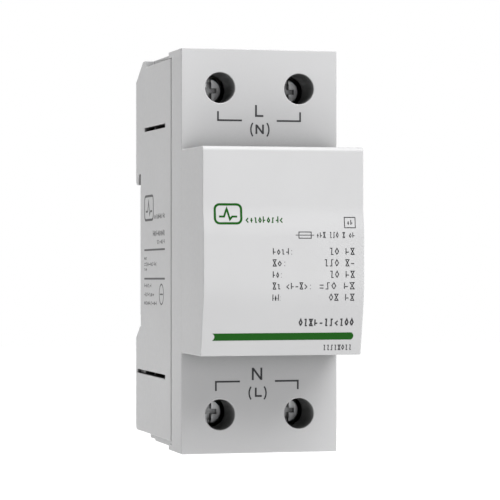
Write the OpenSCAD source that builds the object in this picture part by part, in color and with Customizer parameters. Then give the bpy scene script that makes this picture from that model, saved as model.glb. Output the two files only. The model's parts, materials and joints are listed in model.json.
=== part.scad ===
// Two-module surge protector for a 35 mm rail, with lift-clamp terminals and a triggered spark gap.
// X is the width, +Y points at the rail and -Y at the user, and Z is up.
// The origin is the centre of the face that sits on the rail. Depths are counted from it to the front.

/* [Envelope] */
// Width of one rail module
module_w = 17.9; // [17.6:0.1:18]
// Height of the cover, top to bottom
height = 90; // [88:0.5:92]
// Depth from the rail to the shoulders
shoulder_d = 44; // [43:0.5:46]
// Depth from the rail to the front of the nose
nose_d = 65; // [64:0.1:68]
// Height of the nose, which fits a standard panel cut-out
nose_h = 45; // [44:0.5:45]
// Depth from the rail to the seam between cover and housing
seam_d = 33.4; // [33:0.1:34]
// How far the housing reaches behind the rail face
rear_d = 5; // [4.6:0.1:5.4]
// Thickness of the moulded walls
wall = 1.8; // [1.5:0.1:2]

/* [Nose front] */
// How far the upper flat lies behind the foremost face
upper_step = 0.7; // [0:0.1:1.2]
// Height where the upper flat ends and the swell starts
swell_top_z = 10; // [8:0.5:14]
// Height where the swell reaches the foremost face
swell_end_z = 3; // [1:0.5:5]
// Height where the lower front starts to fall back
fall_start_z = -6.4; // [-10:0.2:-4]
// Height where the fall becomes straight
fall_end_z = -12; // [-15:0.5:-9]
// Slope of the straight lower front, in mm back per mm down
fall_slope = 0.21; // [0.05:0.005:0.25]
// Size of the rounded upper front edge
nose_edge = 1; // [0.5:0.1:1.5]

/* [Housing ends] */
// Height of the side walls above the rail centre
side_top_z = 43.5; // [43.2:0.1:44]
// Depth of the side walls below the rail centre
side_low_z = 42.9; // [42.6:0.1:43.4]
// Height of the upper terminal block above the rail centre
block_z = 44.8; // [44.5:0.1:44.9]
// Depth of the lower terminal block below the rail centre
low_block_z = 44.6; // [44.5:0.1:44.9]
// Half width of the terminal blocks
block_half_w = 16.5; // [16.3:0.1:17]
// Length of each upper vent slot in the side walls
vent_len = 22.6; // [18:0.1:23.5]
// Length of each lower vent slot in the side walls
low_vent_len = 30.8; // [18:0.1:31.5]
// Height of each vent slot
vent_h = 0.87; // [0.5:0.01:1.2]
// Height of the vent slots above and below the rail centre
vent_z = 28.7; // [28:0.05:29.2]

/* [Rail fixing] */
// Width of the mounting rail
rail_w = 35; // [35:0.1:35.3]
// Height of the fixed hook's lower end
hook_z = 15.8; // [15.6:0.1:16.4]
// Height of the top of the pocket behind the fixed hook
hook_pocket_z = 18.4; // [18.2:0.1:19.2]
// Half width of the sliding clip
clip_half_w = 6.1; // [5.5:0.1:6.2]
// Travel of the sliding clip
clip_travel = 4.5; // [4:0.1:4.5]
// Wire diameter of the clip's spring
spring_wire = 0.5; // [0.3:0.05:0.6]
// Number of turns in the clip's spring
spring_turns = 7; // [5:1:9]

/* [Terminals] */
// Distance of each terminal from the centre plane
terminal_x = 9.1; // [9:0.1:9.1]
// Height of the terminal screws above and below the rail centre
terminal_z = 36.3; // [36:0.1:36.4]
// Radius of the screwdriver holes
access_r = 3.4; // [3.2:0.1:3.6]
// Depth of the top of the screw heads
head_d = 33.4; // [33:0.1:33.6]
// Radius of the screw heads
head_r = 2.9; // [2.7:0.05:3]
// Height of the screw heads
head_h = 2.4; // [2:0.1:2.6]
// Length of the screw shanks
shank_len = 10.35; // [10.2:0.05:10.35]
// Outer radius of the screw thread
thread_r = 2.5; // [2.4:0.05:2.5]
// Pitch of the screw thread
thread_pitch = 0.8; // [0.7:0.1:0.8]
// Thickness of the busbars
bar_t = 2; // [1.6:0.1:2]
// Space for the wire behind the busbar when the clamp is open
wire_space = 8; // [7:0.1:8]

/* [Spark gap] */
// Depth of the spark gap's axis
gap_d = 28; // [27.5:0.1:28.5]
// Outer radius of the steel sleeve
sleeve_r = 13.5; // [12.5:0.1:13.6]
// Half height of the steel sleeve
sleeve_half_h = 13; // [12.5:0.1:13]
// Radius of the electrode heads
electrode_r = 9; // [7:0.1:9.5]
// Radius of the electrode studs
stud_r = 3; // [2.5:0.1:3]

/* [Trigger board] */
// Depth of the board's rear face
board_d = 52; // [51:0.1:52.4]
// Half width of the board
board_half_w = 14.5; // [13.5:0.1:15]
// Half height of the board
board_half_h = 19.5; // [19:0.1:20]
// Thickness of the board
board_t = 1.6; // [1.2:0.1:1.6]

/* [Hidden] */
// Signs that place the four terminals: pole above or below, side left or right
LINE = 1;
NEUTRAL = -1;
LEFT = -1;
RIGHT = 1;
$fn = 48;
eps = 0.1;
shell_grey = [0.76, 0.76, 0.77];
steel_grey = [0.62, 0.63, 0.65];
copper_red = [0.78, 0.46, 0.32];
half_w = module_w;
half_h = height / 2;
inner_half_w = half_w - wall;
cover_inner_z = half_h - wall;
nose_top_z = nose_h / 2;

// ---- shared helpers ----

// A box from its low corner to its high corner
module box(low, high) {
    translate(low) cube(high - low);
}

// Extrudes an outline drawn in depth and height, centred on the X axis
module across(width) {
    rotate([90, 0, 90]) linear_extrude(width, center = true) children();
}

// A cylinder along Y that starts at the given point and runs to the front
module forward_rod(at, radius, length) {
    translate(at) rotate([90, 0, 0]) cylinder(r = radius, h = length);
}

// Points of an arc about a centre
function arc(centre, radius, from, to, steps = 6) =
    [for (i = [0:steps]) let (a = from + (to - from) * i / steps)
        centre + radius * [cos(a), sin(a)]];

// Outline of a rectangle with round corners
function round_rect(half_x, half_y, radius) = concat(
    arc([half_x - radius, half_y - radius], radius, 0, 90),
    arc([radius - half_x, half_y - radius], radius, 90, 180),
    arc([radius - half_x, radius - half_y], radius, 180, 270),
    arc([half_x - radius, radius - half_y], radius, 270, 360));

// A round wire through a list of points, with ball joints at its bends
module wire(points, radius) {
    for (i = [0:len(points) - 2]) {
        run = points[i + 1] - points[i];
        flat = norm([run[0], run[1]]);
        translate(points[i])
            rotate([0, atan2(flat, run[2]), atan2(run[1], run[0])])
                cylinder(r = radius, h = norm(run), $fn = 16);
    }
    for (i = [1:len(points) - 2]) translate(points[i]) sphere(r = radius, $fn = 16);
}

// ---- front cover ----

swell_steps = 10;
fall_steps = 10;
fall_run = fall_start_z - fall_end_z;

// How far the nose front lies behind its foremost face, at the swell and at the fall
function smooth(t) = t * t * (3 - 2 * t);
function swell(z) = upper_step * smooth((z - swell_end_z) / (swell_top_z - swell_end_z));
function fall(z) = fall_slope * pow(fall_start_z - z, 2) / (2 * fall_run);
fall_back = fall_slope * fall_run / 2 + fall_slope * (fall_end_z + nose_top_z);

// Front edge of the nose, from top to bottom, moved back by a wall thickness
function nose_front(inset) = concat(
    [for (i = [0:swell_steps])
        let (z = swell_top_z + (swell_end_z - swell_top_z) * i / swell_steps)
            [inset + swell(z) - nose_d, z]],
    [for (i = [0:fall_steps])
        let (z = fall_start_z - fall_run * i / fall_steps)
            [inset + fall(z) - nose_d, z]],
    [[inset + fall_back - fall_slope * inset - nose_d, inset - nose_top_z]]);

shoulder_edge = 0.2;
tab_d = 30.8;
seam_gap = 0.45;
tab_inner_z = 44;

// Side view of the cover
module cover_outline() {
    upper_d = nose_d - upper_step;
    polygon(concat(
        [[-seam_d - seam_gap, half_h]],
        arc([shoulder_edge - shoulder_d, half_h - shoulder_edge], shoulder_edge, 90, 180),
        [[-shoulder_d, nose_top_z]],
        arc([nose_edge - upper_d, nose_top_z - nose_edge], nose_edge, 90, 180),
        nose_front(0),
        [[-shoulder_d, -nose_top_z]],
        arc([shoulder_edge - shoulder_d, shoulder_edge - half_h], shoulder_edge, 180, 270),
        [[-seam_d - seam_gap, -half_h]]));
}

// Side view of the hollow inside the cover
module cover_hollow_outline() {
    polygon(concat(
        [[1 - seam_d, cover_inner_z], [wall - shoulder_d, cover_inner_z],
         [wall - shoulder_d, nose_top_z - wall],
         [wall + upper_step - nose_d, nose_top_z - wall]],
        nose_front(wall),
        [[wall - shoulder_d, wall - nose_top_z], [wall - shoulder_d, -cover_inner_z],
         [1 - seam_d, -cover_inner_z]]));
}

well_end_d = 34.1;
well_wall = 1.2;
arm_t = 1.5;
arm_outer_x = 15.9;
arm_z = 22.6;
arm_half_w = 2;
arm_end_d = 27.5;
arm_room = 0.5;
barb_reach = 1;
barb_len = 2;

// One latch arm that holds the cover on the housing, with its barb turned outwards
module latch_arm() {
    translate([0, 0, arm_z - arm_half_w]) linear_extrude(2 * arm_half_w) polygon([
        [arm_outer_x - arm_t, wall / 2 - shoulder_d], [arm_outer_x - arm_t, -arm_end_d],
        [arm_outer_x, -arm_end_d], [arm_outer_x + barb_reach, -arm_end_d - barb_len],
        [arm_outer_x, -arm_end_d - barb_len], [arm_outer_x, wall / 2 - shoulder_d]]);
}

module front_cover() color(shell_grey) difference() {
    union() {
        difference() {
            across(2 * half_w) cover_outline();
            across(2 * inner_half_w) cover_hollow_outline();
        }
        // screw wells
        for (x = [LEFT, RIGHT], z = [LINE, NEUTRAL])
            forward_rod([x * terminal_x, -well_end_d, z * terminal_z],
                access_r + well_wall, shoulder_d - well_end_d - wall / 2);
        // latch arms
        for (x = [0, 1], z = [0, 1]) mirror([x, 0, 0]) mirror([0, 0, z]) latch_arm();
        // end tabs that lap over the terminal blocks
        for (z = [0, 1]) mirror([0, 0, z]) {
            box([-half_w, -seam_d - wall, tab_inner_z], [half_w, -tab_d, half_h]);
            for (x = [0, 1]) mirror([x, 0, 0])
                box([block_half_w + eps, -seam_d - wall, side_top_z + eps],
                    [half_w, -tab_d, half_h]);
        }
    }
    for (x = [LEFT, RIGHT], z = [LINE, NEUTRAL])
        forward_rod([x * terminal_x, eps - well_end_d, z * terminal_z],
            access_r, shoulder_d - well_end_d + 2 * eps);
}

// ---- rear housing ----

floor_t = 2;
chamber_z = 41.6;
shelf_z = 25;
shelf_t = 1.4;
pocket_back_y = rear_d - wall;
hook_back_z = 20.9;
stop_d = 8.6;
stop_t = 1.4;
guide_end_d = 19.7;
guide_t = 1;
inner_wall_d = seam_d - 3;
bar_half_w = 3.5;
bar_play = 0.3;
vent_front_d = 27.1;
vent_through_d = 1.5;
vent_groove_t = 1;
block_top_end_d = 8.5;
block_low_end_d = 10.1;
block_low_step_d = 4.9;
block_low_step_z = 44.2;
flange_front_d = 5.9;
flange_back_d = 3;
flange_end_z = 40.6;
seat_relief = 0.3;
seat_half_h = 15.3;
hook_lip_y = 2.2;
hook_root_y = 1.6;
lower_edge_z = rail_w / 2 + 0.4;
lower_ramp_z = 20.7;
corner_r = 1.2;
lip_t = 1.2;
lip_len = 2.8;
lip_gap = 0.2;
cage_half_w = 5.7;
cage_gap = 0.25;
slot_half_w = clip_half_w + 0.3;
slot_neck_half_w = clip_half_w - 0.9;
slot_front_y = 0.2;
slot_neck_y = 3.4;
entry_half_w = 4.1;
entry_half_d = 3.9;
entry_corner_r = 1.5;
mouth_steps = 3;
mouth_h = 0.9;
mouth_step_w = 0.25;
mouth_step_d = 0.05;
bar_front_d = head_d - head_h - shank_len - 0.05;
bar_back_d = bar_front_d - bar_t;
entry_d = bar_back_d - wire_space / 2;
pocket_inner_x = 8.2;
pocket_low_z = -40.8;
pocket_h = 8.2;
pocket_pitch = 9.8;
spring_post_z = 36.7;
spring_post_half_h = 1;
spring_half_w = 2.6;
spring_y = 2.6;

// Side view of the housing's side walls, with the raised flange at the upper rear
module side_outline() {
    polygon(concat(
        [[seam_gap - seam_d, -side_low_z]],
        arc([rear_d - corner_r, corner_r - side_low_z], corner_r, 270, 360),
        [[rear_d, flange_end_z], [-flange_back_d, half_h], [-flange_front_d, half_h],
         [-flange_front_d, side_top_z], [seam_gap - seam_d, side_top_z]]));
}

// Side view of the channel for the rail, with the pocket behind the fixed hook
module rail_channel_outline() {
    polygon(concat(
        [[0, -seat_half_h], [-seat_relief, -seat_half_h], [-seat_relief, -lower_edge_z],
         [0, -lower_edge_z]],
        arc([0, -lower_edge_z - corner_r], corner_r, 80, 60, 3),
        [[rear_d, -lower_ramp_z], [rear_d + 1, -lower_ramp_z], [rear_d + 1, hook_z + corner_r]],
        arc([rear_d - corner_r, hook_z + corner_r], corner_r, 0, -90),
        [[hook_lip_y, hook_z], [hook_root_y, hook_pocket_z], [-seat_relief, hook_pocket_z],
         [-seat_relief, seat_half_h], [0, seat_half_h]]));
}

// Side view of the chamber inside the housing
module chamber_outline() {
    polygon([[-seam_d - 1, -chamber_z], [-floor_t, -chamber_z], [-floor_t, hook_back_z],
        [pocket_back_y, hook_back_z], [pocket_back_y, flange_end_z - 1.3],
        [0, chamber_z], [-seam_d - 1, chamber_z]]);
}

// One wire entry, cut down through the upper terminal block, with steps that widen its mouth
module wire_entry(x) {
    translate([x, -entry_d, shelf_z + shelf_t + eps]) linear_extrude(block_z - shelf_z)
        polygon(round_rect(entry_half_w, entry_half_d, entry_corner_r));
    for (i = [1:mouth_steps])
        translate([x, -entry_d, low_block_z - mouth_h + (i - 1) * mouth_h / mouth_steps])
            linear_extrude(2) polygon(round_rect(
                entry_half_w + i * mouth_step_w, entry_half_d + i * mouth_step_d, entry_corner_r));
}

// Walls of one terminal chamber: shelf, stop behind the cages and their guide ribs
module terminal_walls() {
    difference() {
        box([-inner_half_w - eps, -inner_wall_d, shelf_z],
            [inner_half_w + eps, -floor_t - eps, shelf_z + shelf_t]);
        // slots that the busbar's tongues pass through
        for (x = [LEFT, RIGHT])
            box([x * terminal_x - bar_half_w - bar_play, -bar_front_d - bar_play, shelf_z - 1],
                [x * terminal_x + bar_half_w + bar_play, bar_play - bar_back_d,
                 shelf_z + shelf_t + 1]);
    }
    box([-inner_half_w - eps, -stop_d, shelf_z + eps],
        [inner_half_w + eps, stop_t - stop_d, chamber_z + eps]);
    for (x = [0, 1]) mirror([x, 0, 0]) {
        box([terminal_x - cage_half_w - cage_gap - guide_t, -inner_wall_d, shelf_z + eps],
            [terminal_x - cage_half_w - cage_gap, -stop_d + eps, chamber_z + eps]);
        box([terminal_x + cage_half_w + cage_gap, -inner_wall_d, shelf_z + eps],
            [inner_half_w + eps, -guide_end_d, chamber_z + eps]);
    }
}

// Lip at the front of the housing that enters the cover
module front_lip() {
    outer_x = inner_half_w - lip_gap;
    outer_z = cover_inner_z - lip_gap;
    difference() {
        union() {
            box([-outer_x, -seam_d - lip_len, -outer_z], [outer_x, wall - seam_d, outer_z]);
            box([-inner_half_w - eps, seam_gap - seam_d, -outer_z],
                [inner_half_w + eps, wall - seam_d, outer_z]);
        }
        box([lip_t - outer_x, -seam_d - lip_len - 1, lip_t - outer_z],
            [outer_x - lip_t, 1 + wall - seam_d, outer_z - lip_t]);
        // notches that let the cover's latch arms through
        for (z = [LINE, NEUTRAL])
            box([-half_w, -seam_d - lip_len - 1, z * arm_z - arm_half_w - arm_room],
                [half_w, 1 + wall - seam_d, z * arm_z + arm_half_w + arm_room]);
    }
}

// Pockets in the rear face beside the clip's slot, left by the moulding
module rear_pockets() {
    for (x = [0, 1], i = [0, 1]) mirror([x, 0, 0])
        box([pocket_inner_x, 0, pocket_low_z + i * pocket_pitch],
            [inner_half_w, rear_d + 1, pocket_low_z + pocket_h + i * pocket_pitch]);
}

// Outside of the housing with its chamber, walls and lip, before the openings are cut
module housing_blank() {
    difference() {
        union() {
            across(2 * half_w) side_outline();
            // ledges that the cover's tabs lap over, then the terminal blocks behind them
            box([-block_half_w, seam_gap - seam_d, eps - tab_inner_z],
                [block_half_w, -block_top_end_d, tab_inner_z - eps]);
            box([-block_half_w, eps - tab_d, 0], [block_half_w, -block_top_end_d, block_z]);
            box([-block_half_w, eps - tab_d, -low_block_z], [block_half_w, -block_low_end_d, 0]);
            box([-block_half_w, eps - tab_d, -block_low_step_z],
                [block_half_w, -block_low_step_d, 0]);
        }
        across(2 * inner_half_w) chamber_outline();
    }
    for (z = [0, 1]) mirror([0, 0, z]) terminal_walls();
    front_lip();
}

// Post that carries the fixed end of the clip's spring
module spring_post() {
    box([-spring_half_w + 0.4, 0, -spring_post_z - spring_post_half_h],
        [spring_half_w - 0.4, rear_d - 0.6, spring_post_half_h - spring_post_z]);
}

module rear_housing() color(shell_grey) {
    difference() {
        housing_blank();
        housing_cuts();
    }
    spring_post();
}

// Everything that is cut out of the housing from outside
module housing_cuts() {
    across(2 * half_w + 1) rail_channel_outline();
    // slot for the sliding clip, wide inside and narrow at the rear
    box([-slot_half_w, slot_front_y, -half_h - 1], [slot_half_w, slot_neck_y, -lower_edge_z]);
    box([-slot_neck_half_w, slot_neck_y - eps, -half_h - 1],
        [slot_neck_half_w, rear_d + 1, -lower_edge_z]);
    rear_pockets();
    for (z = [0, 1], x = [LEFT, RIGHT]) mirror([0, 0, z]) wire_entry(x * terminal_x);
    // vent slots in both side walls. Beside the rear pockets the lower ones are only grooves
    for (x = [0, 1]) mirror([x, 0, 0]) {
        box([inner_half_w - eps, -vent_front_d, vent_z - vent_h / 2],
            [half_w + 1, vent_len - vent_front_d, vent_z + vent_h / 2]);
        box([inner_half_w - eps, -vent_front_d, -vent_z - vent_h / 2],
            [half_w + 1, -vent_through_d, vent_h / 2 - vent_z]);
        box([half_w - vent_groove_t, -vent_front_d, -vent_z - vent_h / 2],
            [half_w + 1, low_vent_len - vent_front_d, vent_h / 2 - vent_z]);
    }
    // pockets for the barbs of the cover's latches
    for (x = [0, 1], z = [0, 1]) mirror([x, 0, 0]) mirror([0, 0, z])
        box([inner_half_w - eps, -arm_end_d - barb_len - arm_room, arm_z - arm_half_w - arm_room],
            [arm_outer_x + barb_reach + 0.2, arm_room - arm_end_d, arm_z + arm_half_w + arm_room]);
}

// ---- rail clip and its spring ----

clip_front_y = 0.5;
clip_flange_y = 3.1;
clip_back_y = 4.7;
jaw_front_y = 1.3;
jaw_tip_z = 16.4;
jaw_root_z = 19.5;
clip_low_z = 44.8;
window_half_w = 2.8;
spring_reserve = 3.7;
spring_len = spring_turns * spring_wire + clip_travel + spring_reserve;
window_top_z = spring_post_z - spring_post_half_h - spring_len;
window_low_z = spring_post_z + spring_post_half_h + 0.3;
pry_slot_half_w = 2.2;
pry_slot_low_z = 1.4 - clip_low_z;
pry_slot_h = 1.8;
grip_pitch = 1;
grip_w = 0.5;
clip_neck_half_w = slot_neck_half_w - 0.3;

module din_clip() color([0.2, 0.21, 0.22]) difference() {
    union() {
        box([-clip_half_w, clip_front_y, -clip_low_z], [clip_half_w, clip_flange_y, -jaw_root_z]);
        box([-clip_neck_half_w, clip_flange_y - eps, -clip_low_z],
            [clip_neck_half_w, clip_back_y, -jaw_root_z]);
        // jaw with a sloping back, so that the rail pushes it down as the part snaps on
        across(2 * clip_neck_half_w) polygon([
            [jaw_front_y, -jaw_root_z - eps], [jaw_front_y, -jaw_tip_z],
            [jaw_front_y + 0.8, -jaw_tip_z], [clip_back_y, 0.8 - jaw_root_z],
            [clip_back_y, -jaw_root_z - eps]]);
    }
    box([-window_half_w, 0, -window_low_z], [window_half_w, rear_d, -window_top_z]);
    box([-pry_slot_half_w, 0, pry_slot_low_z],
        [pry_slot_half_w, rear_d, pry_slot_low_z + pry_slot_h]);
    // grip grooves across the pull tab
    for (i = [0:2]) {
        low_z = pry_slot_low_z + pry_slot_h + 0.7 + i * grip_pitch;
        box([-clip_half_w, clip_back_y - grip_w, low_z], [clip_half_w, rear_d, low_z + grip_w]);
    }
}

spring_low_z = spring_post_half_h - spring_post_z + 0.05;
spring_high_z = -window_top_z - 0.05;
spring_r = 1.8;
coil_steps = 16;
coil_sides = 6;
coil_rings = spring_turns * coil_steps;

// Centre of the spring's wire at a step of its winding
function coil_point(i) =
    let (a = 360 * i / coil_steps, rise = spring_high_z - spring_low_z - spring_wire)
        [spring_r * cos(a), spring_y + spring_r * sin(a),
         spring_low_z + spring_wire / 2 + rise * i / coil_rings];

// One corner of the wire's round section at a step of the winding
function coil_corner(i, side) =
    let (a = 360 * i / coil_steps, b = 360 * side / coil_sides,
         out = spring_wire / 2 * cos(b))
        coil_point(i) + [out * cos(a), out * sin(a), spring_wire / 2 * sin(b)];

module clip_spring() color(steel_grey) polyhedron(
    points = [for (i = [0:coil_rings], side = [0:coil_sides - 1]) coil_corner(i, side)],
    faces = concat(
        [[for (side = [0:coil_sides - 1]) side]],
        [for (i = [0:coil_rings - 1], side = [0:coil_sides - 1])
            let (a = i * coil_sides, next = (side + 1) % coil_sides)
                [a + side, a + coil_sides + side, a + coil_sides + next, a + next]],
        [[for (side = [coil_sides - 1:-1:0]) coil_rings * coil_sides + side]]));

// ---- terminals ----

thread_depth = 0.43;
// Where the root, the crest and the next root start, as shares of one pitch
thread_profile = [0.3, 0.45, 0.6, 0.9];
slot_w = 0.9;
slot_depth = 1.2;
cross_w = 1.1;
cross_len = 3.6;
cross_depth = 1.7;
screw_turns = floor((shank_len - 1.5) / thread_pitch);

// Half section of a screw, from the middle of its head's top down to its tip
function screw_section() = concat(
    [[0, 0], [head_r - 0.3, 0], [head_r, -0.3], [head_r, -head_h], [thread_r - thread_depth, -head_h],
     [thread_r - thread_depth, -head_h - 0.5]],
    [for (i = [0:screw_turns - 1], edge = [0:3])
        let (z = -head_h - 0.5 - thread_pitch * (i + thread_profile[edge]))
            [edge == 0 || edge == 3 ? thread_r - thread_depth : thread_r, z]],
    [[thread_r - thread_depth, 0.6 - head_h - shank_len],
     [thread_r - 1, -head_h - shank_len], [0, -head_h - shank_len]]);

// A terminal screw with a head that takes a flat or a cross blade
module terminal_screw(side, pole) color(steel_grey)
    translate([side * terminal_x, -head_d, pole * terminal_z]) rotate([90, 0, 0]) difference() {
        rotate_extrude() polygon(screw_section());
        box([-slot_w / 2, -head_r - 1, -slot_depth], [slot_w / 2, head_r + 1, 1]);
        box([-cross_w / 2, -cross_len / 2, -cross_depth], [cross_w / 2, cross_len / 2, 1]);
        box([-cross_len / 2, -cross_w / 2, -cross_depth], [cross_len / 2, cross_w / 2, 1]);
    }

cage_side_t = 1.5;
cage_nut_t = 2.6;
cage_back_t = 1.6;
cage_half_len = 4.8;
groove_pitch = 2.4;
groove_half_w = 0.4;
cage_front_d = bar_front_d + bar_play + cage_nut_t;
cage_back_d = bar_back_d - wire_space - cage_back_t;
cage_window_half_w = cage_half_w - cage_side_t;
thread_clearance = 0.05;

// A lifting cage: a box section that the screw draws up against the busbar
module lift_cage(side, pole) color([0.70, 0.69, 0.64]) difference() {
    translate([side * terminal_x, 0, pole * terminal_z]) difference() {
        translate([0, -(cage_front_d + cage_back_d) / 2, -cage_half_len])
            linear_extrude(2 * cage_half_len) polygon(
                round_rect(cage_half_w, (cage_front_d - cage_back_d) / 2, 0.8));
        box([-cage_window_half_w, -bar_front_d - bar_play, -cage_half_len - 1],
            [cage_window_half_w, -cage_back_d - cage_back_t, cage_half_len + 1]);
        forward_rod([0, -bar_front_d, 0], thread_r + thread_clearance, cage_nut_t + 2);
        // grooves that grip the wire
        for (i = [-1:1])
            box([-cage_window_half_w, -cage_back_d - cage_back_t - 1,
                 i * groove_pitch - groove_half_w],
                [cage_window_half_w, groove_half_w - cage_back_d - cage_back_t,
                 i * groove_pitch + groove_half_w]);
    }
}

bridge_low_z = 15.6;
bridge_high_z = 23.6;
bridge_half_w = terminal_x + bar_half_w;
foot_half_w = 8;
foot_front_d = 35.5;

// A busbar: two tongues through the cages, a bridge between them and a foot on the electrode
module busbar() difference() {
    union() {
        for (x = [LEFT, RIGHT])
            box([x * terminal_x - bar_half_w, -bar_front_d, bridge_high_z - 1],
                [x * terminal_x + bar_half_w, -bar_back_d, terminal_z + cage_half_len]);
        box([-bridge_half_w, -bar_front_d, bridge_low_z + bar_t + 0.4],
            [bridge_half_w, -bar_back_d, bridge_high_z]);
        box([-foot_half_w, -bar_front_d, bridge_low_z],
            [foot_half_w, -bar_back_d, bridge_high_z]);
        box([-foot_half_w, -foot_front_d, bridge_low_z],
            [foot_half_w, -bar_back_d, bridge_low_z + bar_t]);
    }
    translate([0, -gap_d, bridge_low_z - 1]) cylinder(r = stud_r + 0.3, h = bar_t + 2);
}

module line_busbar() color(copper_red) busbar();
module neutral_busbar() color(copper_red) mirror([0, 0, 1]) busbar();

// ---- spark gap ----

face_z = 1.6;
dish_depth = 0.9;
dish_r = 3;
turned_edge = 0.6;
head_back_z = 5;
collar_z = 9;
collar_r = 5;
stud_top_z = 21.6;
ring_hole_r = 4;
liner_wall = 1.6;
liner_r = sleeve_r - 1.3;
liner_inner_r = liner_r - liner_wall;
fit_gap = 0.05;
cap_low_z = sleeve_half_h + fit_gap;
nut_across = 10;
nut_h = 3.6;
pin_r = 0.6;
pin_front_d = 47;
pin_end_d = gap_d + ring_hole_r + 0.3;
bush_r = 1.6;
bush_gap = 0.03;

// An electrode with a hollowed face, a collar and a threaded stud
module electrode() translate([0, -gap_d, 0]) rotate_extrude() polygon([
    [0, face_z + dish_depth], [dish_r / 2, face_z + dish_depth * 3 / 4], [dish_r, face_z],
    [electrode_r - turned_edge, face_z], [electrode_r, face_z + turned_edge],
    [electrode_r, head_back_z], [collar_r, head_back_z + turned_edge],
    [collar_r, collar_z], [stud_r, collar_z], [stud_r, stud_top_z - turned_edge],
    [stud_r - turned_edge, stud_top_z], [0, stud_top_z]]);

module upper_electrode() color([0.72, 0.60, 0.50]) electrode();
module lower_electrode() color([0.72, 0.60, 0.50]) mirror([0, 0, 1]) electrode();

// A hexagon nut on an electrode's stud, with its corners turned off
module electrode_nut() translate([0, -gap_d, bridge_low_z + bar_t]) difference() {
    intersection() {
        cylinder(d = nut_across / cos(30), h = nut_h, $fn = 6);
        rotate_extrude() polygon([[0, 0], [nut_across / 2, 0], [nut_across / 2 + 0.8, 0.5],
            [nut_across / 2 + 0.8, nut_h - 0.5], [nut_across / 2, nut_h], [0, nut_h]]);
    }
    translate([0, 0, -1]) cylinder(r = stud_r + 0.05, h = nut_h + 2);
}

module upper_electrode_nut() color(steel_grey) electrode_nut();
module lower_electrode_nut() color(steel_grey) mirror([0, 0, 1]) electrode_nut();

// An insulating end cap with a spigot that centres the electrode's collar
module gap_cap() translate([0, -gap_d, 0]) rotate_extrude() polygon([
    [stud_r + 0.15, collar_z + 0.1], [liner_inner_r - 0.1, collar_z + 0.1],
    [liner_inner_r - 0.1, cap_low_z], [sleeve_r - 0.3, cap_low_z],
    [sleeve_r - 0.3, bridge_low_z - 0.5 - fit_gap], [sleeve_r - 0.8, bridge_low_z - fit_gap],
    [stud_r + 0.15, bridge_low_z - fit_gap]]);

module upper_gap_cap() color([0.55, 0.20, 0.14]) gap_cap();
module lower_gap_cap() color([0.55, 0.20, 0.14]) mirror([0, 0, 1]) gap_cap();

// Radial hole for the trigger pin or its bush
module trigger_hole(radius, reach) {
    forward_rod([0, -gap_d - ring_hole_r + 1, 0], radius, reach);
}

// Ring of arc-quenching polymer that keeps the electrodes apart
module arc_ring() color([0.93, 0.92, 0.88]) difference() {
    translate([0, -gap_d, 0]) rotate_extrude() polygon([
        [ring_hole_r, fit_gap - face_z], [electrode_r - turned_edge, fit_gap - face_z],
        [electrode_r + 0.1, -face_z - turned_edge],
        [liner_inner_r - fit_gap, -face_z - turned_edge],
        [liner_inner_r - fit_gap, face_z + turned_edge], [electrode_r + 0.1, face_z + turned_edge],
        [electrode_r - turned_edge, face_z - fit_gap], [ring_hole_r, face_z - fit_gap]]);
    trigger_hole(pin_r + fit_gap, sleeve_r);
}

module gap_insulator() color([0.55, 0.20, 0.14]) difference() {
    translate([0, -gap_d, -sleeve_half_h]) difference() {
        cylinder(r = liner_r - 0.02, h = 2 * sleeve_half_h);
        translate([0, 0, -1]) cylinder(r = liner_inner_r, h = 2 * sleeve_half_h + 2);
    }
    trigger_hole(bush_r + bush_gap, sleeve_r);
}

module gap_sleeve() color(steel_grey) difference() {
    translate([0, -gap_d, -sleeve_half_h]) difference() {
        cylinder(r = sleeve_r, h = 2 * sleeve_half_h);
        translate([0, 0, -1]) cylinder(r = liner_r, h = 2 * sleeve_half_h + 2);
    }
    trigger_hole(bush_r + bush_gap, sleeve_r);
}

module trigger_pin() color([0.80, 0.68, 0.36])
    translate([0, -pin_end_d, 0]) rotate([90, 0, 0]) rotate_extrude() polygon([
        [0, 0], [pin_r / 2, 0], [pin_r, pin_r], [pin_r, pin_front_d - pin_end_d],
        [0, pin_front_d - pin_end_d]]);

bush_start_d = gap_d + liner_inner_r + 0.1;
bush_end_d = 45.4;

module trigger_bush() color([0.93, 0.92, 0.88])
    translate([0, -bush_start_d, 0]) rotate([90, 0, 0]) rotate_extrude() polygon([
        [pin_r + bush_gap, 0], [bush_r, 0], [bush_r, bush_end_d - bush_start_d],
        [pin_r + bush_gap, bush_end_d - bush_start_d]]);

// ---- inner frame ----

cradle_half_h = 12.8;
frame_half_w = inner_half_w - 0.4;
saddle_r = sleeve_r + 0.15;
cradle_front_d = 22;
cradle_rib = 1.6;
cradle_pocket_d = 10;
carrier_front_d = 46;
carrier_back_d = seam_d + lip_len + lip_gap;
carrier_half_h = 18.4;
carrier_web_t = 2.6;
carrier_foot_t = 4;
post_r = 2.2;
post_x = 11.6;
post_z = 16.4;
post_hole_r = 0.8;
post_hole_len = 8;

// Rear half of the frame, which carries the spark gap against the rail wall
module gap_cradle() color([0.16, 0.17, 0.18]) difference() {
    box([-frame_half_w, -cradle_front_d, -cradle_half_h],
        [frame_half_w, -floor_t - 0.2, cradle_half_h]);
    translate([0, -gap_d, -cradle_half_h - 1]) cylinder(r = saddle_r, h = 2 * cradle_half_h + 2);
    // lightening pockets behind the saddle
    for (x = [0, 1], z = [0, 1]) mirror([x, 0, 0]) mirror([0, 0, z])
        box([cradle_rib, -cradle_pocket_d, cradle_rib],
            [frame_half_w - cradle_rib, 0, cradle_half_h - cradle_rib]);
}

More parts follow.
